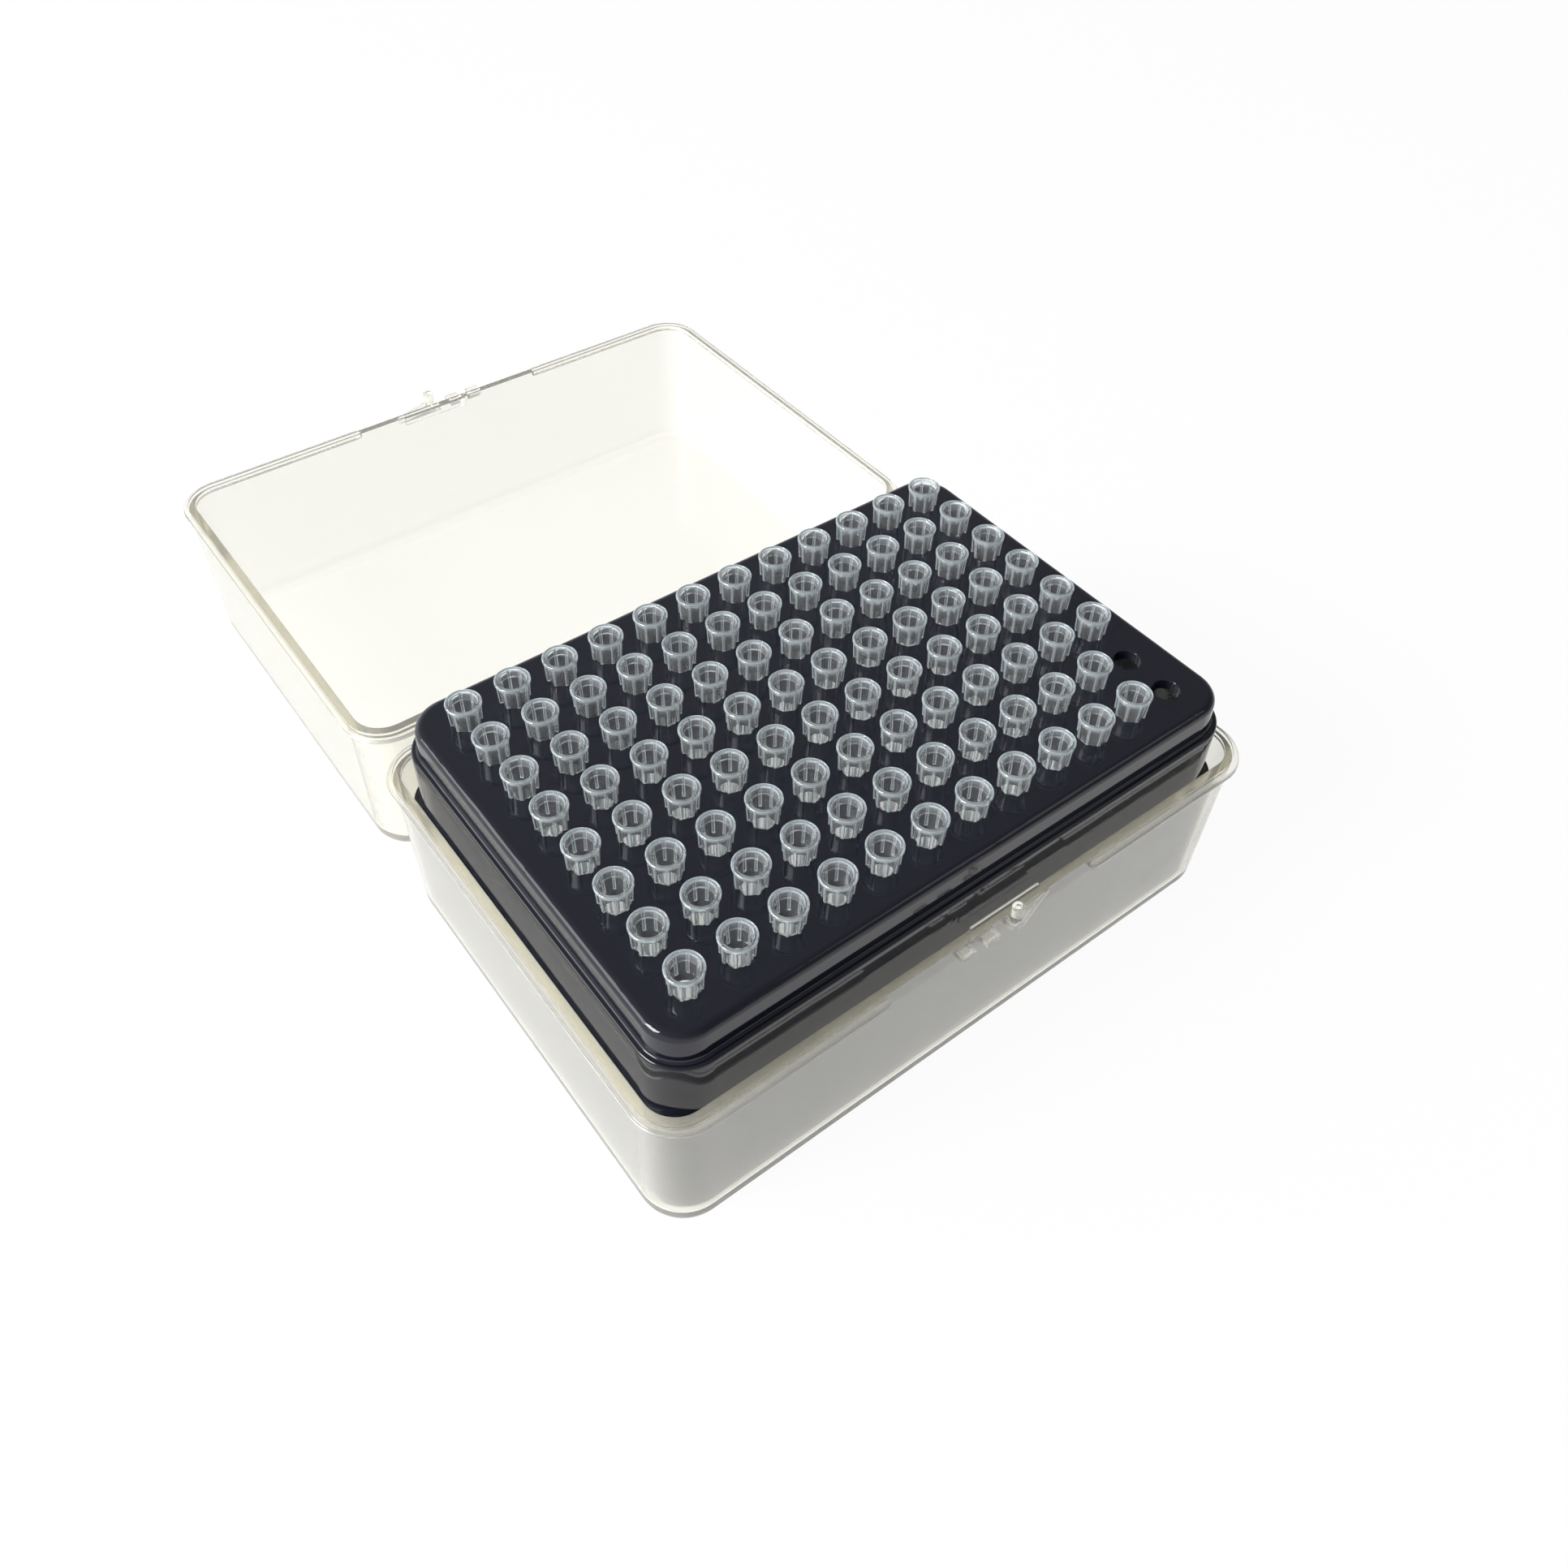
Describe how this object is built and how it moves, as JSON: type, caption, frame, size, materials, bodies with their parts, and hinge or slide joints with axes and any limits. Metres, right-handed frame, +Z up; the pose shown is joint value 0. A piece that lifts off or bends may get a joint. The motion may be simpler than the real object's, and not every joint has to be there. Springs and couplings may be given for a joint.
{
  "type": "pipette tip box",
  "caption": "Hinged translucent plastic box with a latch, holding a black stepped rack of ribbed clear pipette tips, lid folded flat open behind.",
  "frame": {"origin": "centre of the tub's flat underside", "axes": "+X along the box's long side, -Y towards the latch, +Y towards the hinge and the open lid, +Z up"},
  "size_m": [0.126, 0.1844, 0.0495],
  "materials": {
    "shell": "natural translucent polypropylene, satin moulded",
    "rack": "black polypropylene, polished moulding",
    "tip": "clear polypropylene, smooth moulded"
  },
  "bodies": {
    "base": {"base_tub": "shell", "hinge_web": "shell", "tip_rack": "rack", "tips_column_01": "tip", "tips_column_02": "tip", "tips_column_03": "tip", "tips_column_04": "tip", "tips_column_05": "tip", "tips_column_06": "tip", "tips_column_07": "tip", "tips_column_08": "tip", "tips_column_09": "tip", "tips_column_10": "tip", "tips_column_11": "tip", "tips_column_12": "tip"},
    "lid": {"lid": "shell"}
  },
  "joints": [
    {"name": "lid_hinge", "type": "hinge", "parent": "base", "child": "lid", "pos_m": [0, 0.0462, 0.0321], "axis": [1, 0, 0], "range_deg": [0, 180], "deforming": ["hinge_web"]}
  ]
}
